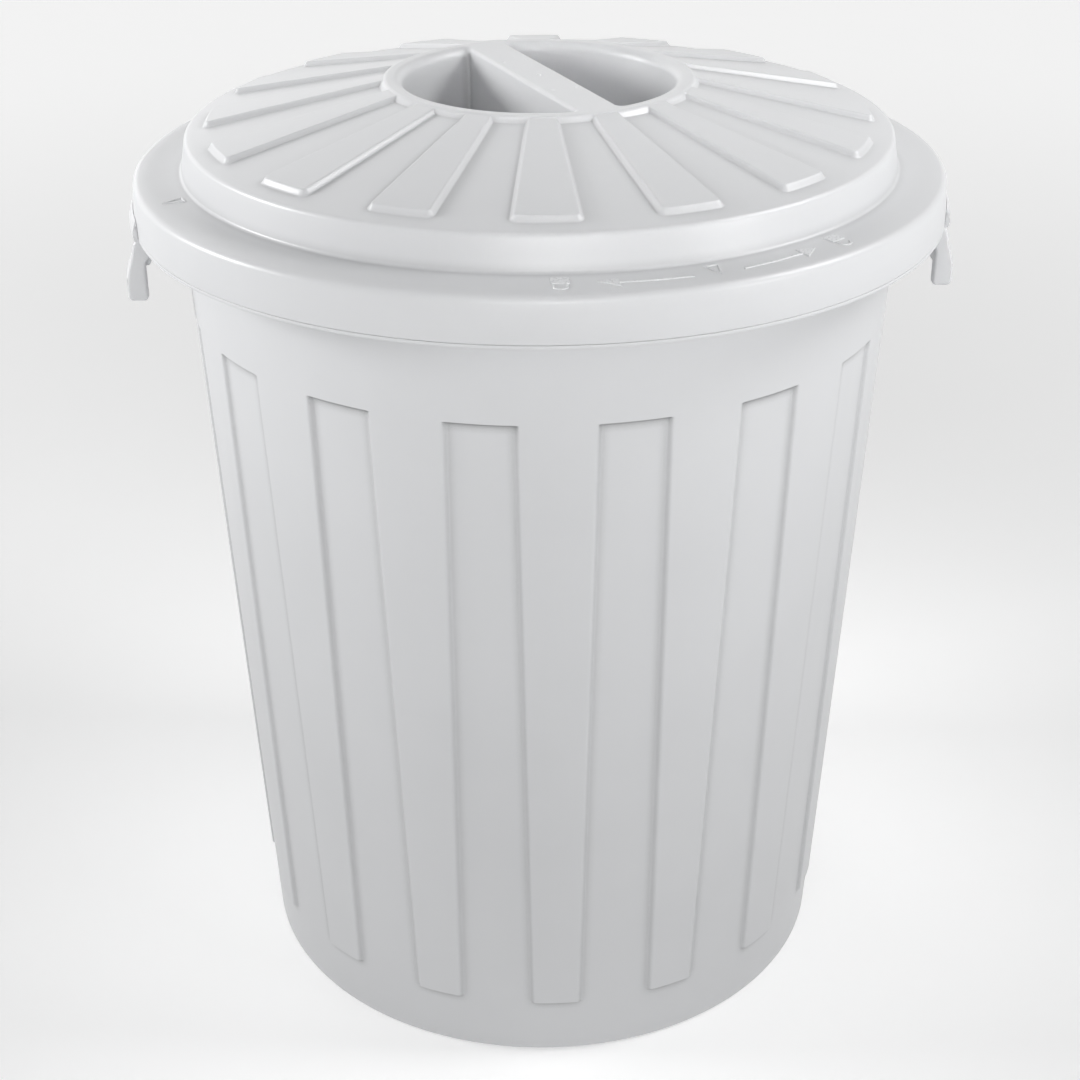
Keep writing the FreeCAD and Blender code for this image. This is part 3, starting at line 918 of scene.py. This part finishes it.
# Outlines of a padlock round its own middle; an open one lacks the shackle's second leg
def padlock(is_open):
    radius = SHACKLE_RADIUS
    shackle = [(-radius, PADLOCK_TOP)]
    for angle in np.linspace(0, math.pi, SHACKLE_POINTS):
        shackle.append((-radius * math.cos(angle), radius + radius * math.sin(angle)))
    if not is_open:
        shackle.append((radius, PADLOCK_TOP))
    body = np.array([
        (-PADLOCK_HALF, PADLOCK_FOOT),
        (PADLOCK_HALF, PADLOCK_FOOT),
        (PADLOCK_HALF, PADLOCK_TOP),
        (-PADLOCK_HALF, PADLOCK_TOP),
    ])
    return [stroke(shackle, SHACKLE_WIDTH), body]


# Outlines of a set's two arrows and two padlocks
def lock_marks():
    outlines = []
    for side in (-1, 1):
        mirror = np.array((side, 1.0))
        outlines.append(ARROW_HEAD * mirror)
        outlines.append(stroke(ARROW_SHAFT * mirror, ARROW_WIDTH))
        for outline in padlock(side > 0):
            outlines.append(outline + PADLOCK_PLACE * mirror)
    return outlines


# Arrows, padlocks and pointers on the brim, and the moulding dots on the bar
def make_marks():
    shape = Shape()
    for quarter in range(4):
        middle = BAR_TURN + quarter * math.pi / 2

        def on_brim(flat, height):
            radius = MARK_RADIUS + flat[:, 1]
            return round_row(radius, middle + flat[:, 0] / MARK_RADIUS, brim_z(radius) + height)

        emboss_ring(shape, np.array(POINTER), POINTER_WIDTH, on_brim)
        if quarter % 2 == 0:
            for outline in lock_marks():
                emboss(shape, outline, on_brim, MARK_HEIGHT, MARK_EDGE)

    def emboss_dot(along, across, radius, height, edge):
        dot = circle(along, across, radius)
        emboss(shape, dot, lambda flat, lift: bar_row(flat, LID_TOP_Z + lift), height, edge)

    emboss_dot(0, 0, *GATE_DOT)
    for along in (-DOT_ALONG, DOT_ALONG):
        for across in (-DOT_ACROSS, DOT_ACROSS):
            emboss_dot(along, across, *SMALL_DOT)
    return shape.build("lid_marks")


# New node with values for some of its inputs
def add_node(tree, kind, values=()):
    node = tree.nodes.new(kind)
    for name, value in dict(values).items():
        node.inputs[name].default_value = value
    return node


# Output of a new math node whose inputs are values or the outputs of other nodes
def compute(tree, kind, operation, *inputs):
    node = add_node(tree, kind)
    node.operation = operation
    for socket, value in zip(node.inputs, inputs):
        if isinstance(value, bpy.types.NodeSocket):
            tree.links.new(value, socket)
        else:
            socket.default_value = value
    return node.outputs["Value"]


# Tint that drifts between two colours in faint clouds
def cloud_tint(tree, place, light, dark):
    cloud = add_node(tree, "ShaderNodeTexNoise", CLOUD)
    tree.links.new(place, cloud.inputs["Vector"])
    tint = add_node(tree, "ShaderNodeValToRGB")
    for element, position, colour in zip(tint.color_ramp.elements, CLOUD_RANGE, (dark, light)):
        element.position = position
        element.color = (*colour, 1.0)
    tree.links.new(cloud.outputs["Fac"], tint.inputs["Fac"])
    return tint.outputs["Color"]


# The tint darkened by painted shade in inner edges, corners and under ledges, following ambient occlusion
def painted_shade_tint(tree, tint, painted_shade):
    occlusion = add_node(tree, "ShaderNodeAmbientOcclusion", {"Distance": SHADE_REACH})
    occlusion.samples = SHADE_SAMPLES
    occlusion.only_local = True
    unshaded_share = add_node(tree, "ShaderNodeMapRange", {
        "From Min": SHADE_OCCLUSION_RANGE[0],
        "From Max": SHADE_OCCLUSION_RANGE[1],
        "To Min": 1.0 - painted_shade,
        "To Max": 1.0,
    })
    tree.links.new(occlusion.outputs["AO"], unshaded_share.inputs["Value"])
    # Multiply the tint down where the surface is hemmed in: painted shade
    shade = add_node(tree, "ShaderNodeMix")
    shade.data_type = "RGBA"
    shade.blend_type = "MULTIPLY"
    shade.inputs["Factor"].default_value = 1.0
    tree.links.new(tint, shade.inputs["A"])
    tree.links.new(unshaded_share.outputs["Result"], shade.inputs["B"])
    return shade.outputs["Result"]


# Fine grain in a shader's roughness and bump
def add_grain(tree, place, shader, roughness):
    grain = add_node(tree, "ShaderNodeTexNoise", GRAIN)
    tree.links.new(place, grain.inputs["Vector"])
    rough = add_node(tree, "ShaderNodeMapRange", {
        "To Min": roughness - GRAIN_ROUGHNESS,
        "To Max": roughness + GRAIN_ROUGHNESS,
    })
    tree.links.new(grain.outputs["Fac"], rough.inputs["Value"])
    tree.links.new(rough.outputs["Result"], shader.inputs["Roughness"])
    bump = add_node(tree, "ShaderNodeBump", GRAIN_BUMP)
    tree.links.new(grain.outputs["Fac"], bump.inputs["Height"])
    tree.links.new(bump.outputs["Normal"], shader.inputs["Normal"])


# Satin moulded plastic, with painted shade in its inner edges when asked for; the rubber and the floor are
# made the same way
def plastic(name, light, dark, roughness, painted_shade=0.0):
    material = bpy.data.materials.new(name)
    material.use_nodes = True
    tree = material.node_tree
    shader = tree.nodes["Principled BSDF"]
    place = add_node(tree, "ShaderNodeTexCoord").outputs["Object"]
    tint = cloud_tint(tree, place, light, dark)
    tree.links.new(painted_shade_tint(tree, tint, painted_shade), shader.inputs["Base Color"])
    add_grain(tree, place, shader, roughness)
    return material


def paint(obj, material):
    obj.data.materials.clear()
    obj.data.materials.append(material)


def dress(piece, material, body):
    paint(piece, material)
    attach(piece, body)


def build_object():
    # Bucket and lid are copies of one plastic, with strong and with weak painted shade in inner edges
    bin_plastic = plastic("light_grey_plastic", *GREY, painted_shade=BIN_PAINTED_SHADE)
    lid_plastic = plastic("light_grey_lid_plastic", *GREY, painted_shade=LID_PAINTED_SHADE)
    # The marks' lighter tint is a painted highlight; their lower roughness is real gloss
    mark_plastic = plastic("glossy_marks_with_painted_highlight", *GLOSSY_PAINTED_HIGHLIGHT)
    bucket = make_bucket()
    neck_thread = make_thread("bucket_thread", NECK_RADIUS, NECK_THREAD_TIP, NECK_THREAD_Z)
    for piece in (bucket, make_lugs(), make_shields(), neck_thread):
        dress(piece, bin_plastic, "bucket")
    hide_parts("bucket")
    lid = make_lid()
    skirt_thread = make_thread("lid_thread", SKIRT_INNER, SKIRT_THREAD_TIP, SKIRT_THREAD_Z)
    for piece in (lid, skirt_thread):
        dress(piece, lid_plastic, "lid")
    dress(make_marks(), mark_plastic, "lid")
    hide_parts("lid")
    for name, side in (("handle_left", -1), ("handle_right", 1)):
        handle = make_handle(name + "_skin", side)
        dress(handle, lid_plastic, name)
        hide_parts(name)
    seal_rubber = plastic("dark_seal_rubber", *RUBBER)
    paint(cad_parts["lid_seal"], seal_rubber)


def make_camera():
    data = bpy.data.cameras.new("camera")
    data.sensor_width = SENSOR_WIDTH
    data.lens = SENSOR_WIDTH * FOCAL_PIXELS / PHOTO_PIXELS
    data.clip_end = CAMERA_CLIP_END
    camera = add_object("camera", data)
    yaw = Matrix.Rotation(-CAMERA_TURN + CAMERA_ASIDE_PIXELS / FOCAL_PIXELS, 4, "Z")
    tilt = Matrix.Rotation(math.pi / 2 - CAMERA_PITCH, 4, "X")
    roll = Matrix.Rotation(CAMERA_ROLL, 4, "Z")
    x = -CAMERA_DISTANCE * math.sin(CAMERA_TURN)
    y = -CAMERA_DISTANCE * math.cos(CAMERA_TURN)
    place = Vector((x, y, CAMERA_HEIGHT)) * MM
    camera.matrix_world = Matrix.Translation(place) @ yaw @ tilt @ roll
    bpy.context.scene.camera = camera


def area_light(name, place, target, size, power, spread):
    data = bpy.data.lights.new(name, "AREA")
    data.shape = "RECTANGLE"
    data.size = size[0]
    data.size_y = size[1]
    data.energy = power
    data.spread = math.radians(spread)
    light = add_object(name, data)
    light.visible_camera = False
    aim = (Vector(target) - Vector(place)).to_track_quat("-Z", "Y")
    light.matrix_world = Matrix.Translation(Vector(place)) @ aim.to_matrix().to_4x4()


def floor_material():
    material = plastic("pale_floor", *PALE)
    tree = material.node_tree
    shader = tree.nodes["Principled BSDF"]
    place = add_node(tree, "ShaderNodeTexCoord").outputs["Object"]
    away = compute(tree, "ShaderNodeVectorMath", "LENGTH", place)
    glow = add_node(tree, "ShaderNodeMapRange", {
        "From Min": FLOOR_GLOW_START,
        "From Max": FLOOR_GLOW_END,
        "To Min": FLOOR_GLOW_NEAR,
        "To Max": FLOOR_GLOW_FAR,
    })
    glow.interpolation_type = "SMOOTHSTEP"
    tree.links.new(away, glow.inputs["Value"])
    shader.inputs["Emission Color"].default_value = WHITE
    tree.links.new(glow.outputs["Result"], shader.inputs["Emission Strength"])
    return material


def make_floor():
    mesh = bpy.data.meshes.new("floor")
    reach = FLOOR_REACH
    corners = [(-reach, -reach, 0), (reach, -reach, 0), (reach, reach, 0), (-reach, reach, 0)]
    mesh.from_pydata(corners, [], [(0, 1, 2, 3)])
    floor = add_object("floor", mesh)
    paint(floor, floor_material())


# White studio walls with soft bright zones
def make_world():
    world = bpy.data.worlds.new("studio")
    world.use_nodes = True
    tree = world.node_tree
    background = tree.nodes["Background"]
    background.inputs["Color"].default_value = WHITE
    place = add_node(tree, "ShaderNodeTexCoord").outputs["Generated"]
    total = STUDIO_WALLS
    for azimuth, elevation, strength in STUDIO_ZONES:
        turn = math.radians(azimuth)
        rise = math.radians(elevation)
        centre = (math.cos(rise) * math.sin(turn), -math.cos(rise) * math.cos(turn), math.sin(rise))
        toward = compute(tree, "ShaderNodeVectorMath", "DOT_PRODUCT", place, centre)
        front = compute(tree, "ShaderNodeMath", "MAXIMUM", toward, 0.0)
        zone = compute(tree, "ShaderNodeMath", "POWER", front, ZONE_FALLOFF)
        total = compute(tree, "ShaderNodeMath", "MULTIPLY_ADD", zone, strength, total)
    tree.links.new(total, background.inputs["Strength"])
    bpy.context.scene.world = world


def make_stage():
    make_floor()
    make_world()
    for lamp in LAMPS:
        area_light(*lamp)


build_object()
make_camera()
make_stage()
bpy.context.scene.view_settings.view_transform = "Standard"
